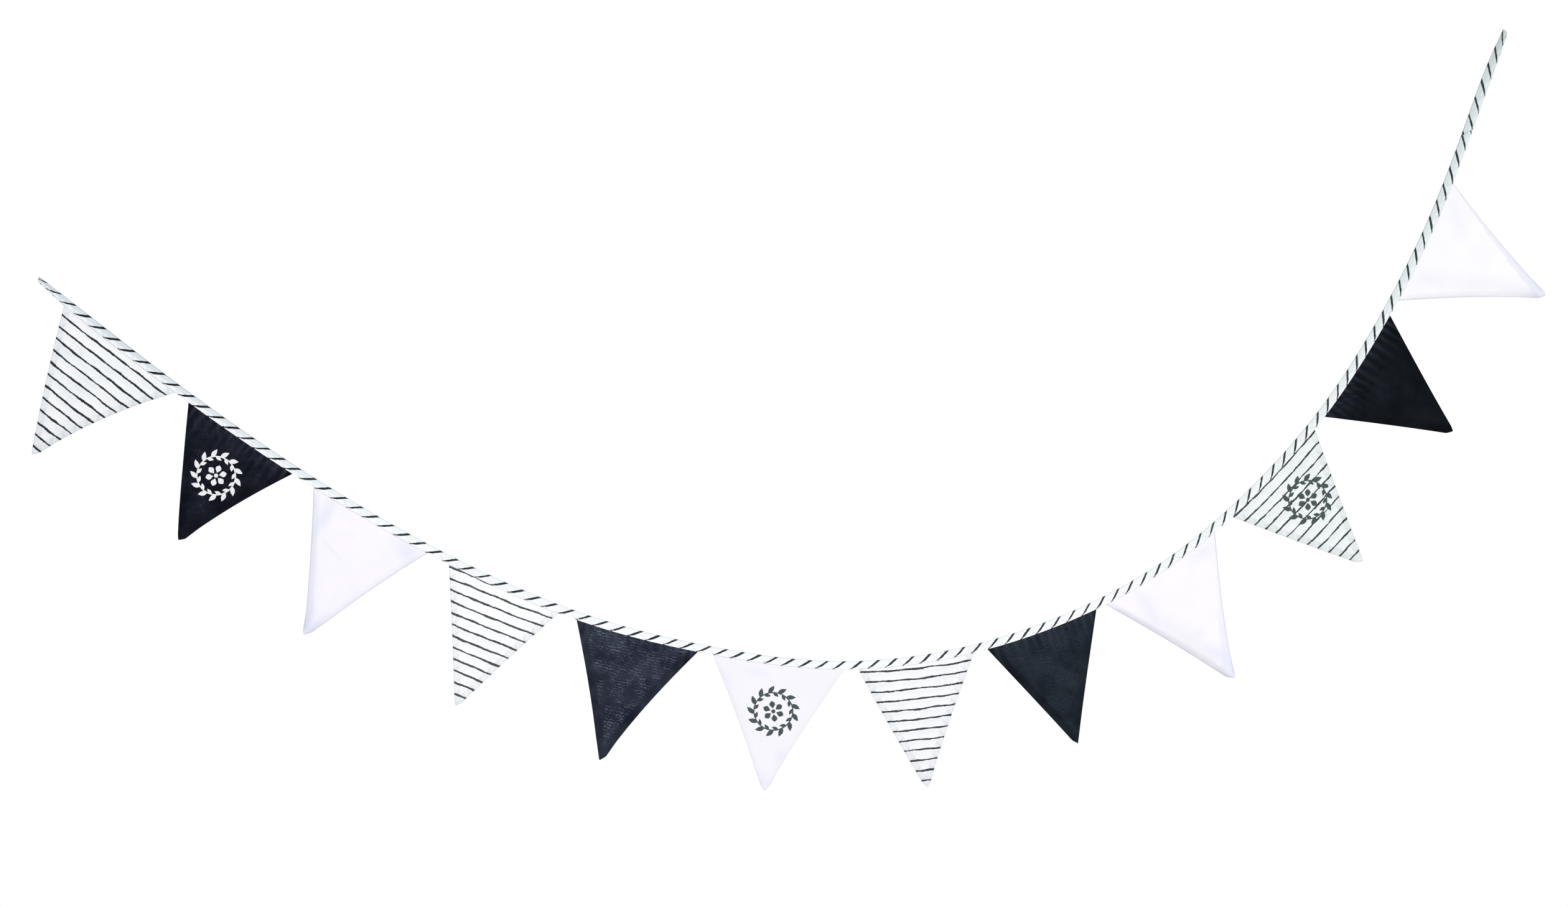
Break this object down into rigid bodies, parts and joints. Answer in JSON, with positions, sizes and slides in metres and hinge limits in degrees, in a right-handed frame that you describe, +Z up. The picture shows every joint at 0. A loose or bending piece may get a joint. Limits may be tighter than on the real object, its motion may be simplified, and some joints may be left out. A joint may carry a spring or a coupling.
{
  "type": "fabric bunting",
  "caption": "Hanging festoon of triangular cotton pennants in striped, navy and white cloth, held in a folded diagonal-striped bias tape.",
  "frame": {"origin": "the crease of the tape at its high end, where a hook or a nail holds it", "axes": "+X along the bunting's width, from its low end to its high end; +Y through the cloth, to the wall behind; +Z up"},
  "size_m": [2.1902, 0.0211, 1.102],
  "materials": {
    "striped_bias_tape": "matt bias-cut cotton, white with charcoal stripes on the slant",
    "striped_cotton": "matt plain-weave cotton, white with uneven brushed charcoal stripes",
    "navy_cotton": "matt slubby plain-weave cotton, dark navy",
    "white_cotton": "matt plain-weave cotton, cool white"
  },
  "bodies": {
    "root": {"bias_tape": "striped_bias_tape", "bias_tape_joined_end": "striped_bias_tape", "pennant_01_striped": "striped_cotton", "pennant_02_navy": "navy_cotton", "pennant_03_white": "white_cotton", "pennant_04_striped": "striped_cotton", "pennant_05_navy": "navy_cotton", "pennant_06_white": "white_cotton", "pennant_07_striped": "striped_cotton", "pennant_08_navy": "navy_cotton", "pennant_09_white": "white_cotton", "pennant_10_striped": "striped_cotton", "pennant_11_navy": "navy_cotton", "pennant_12_white": "white_cotton"}
  },
  "joints": []
}
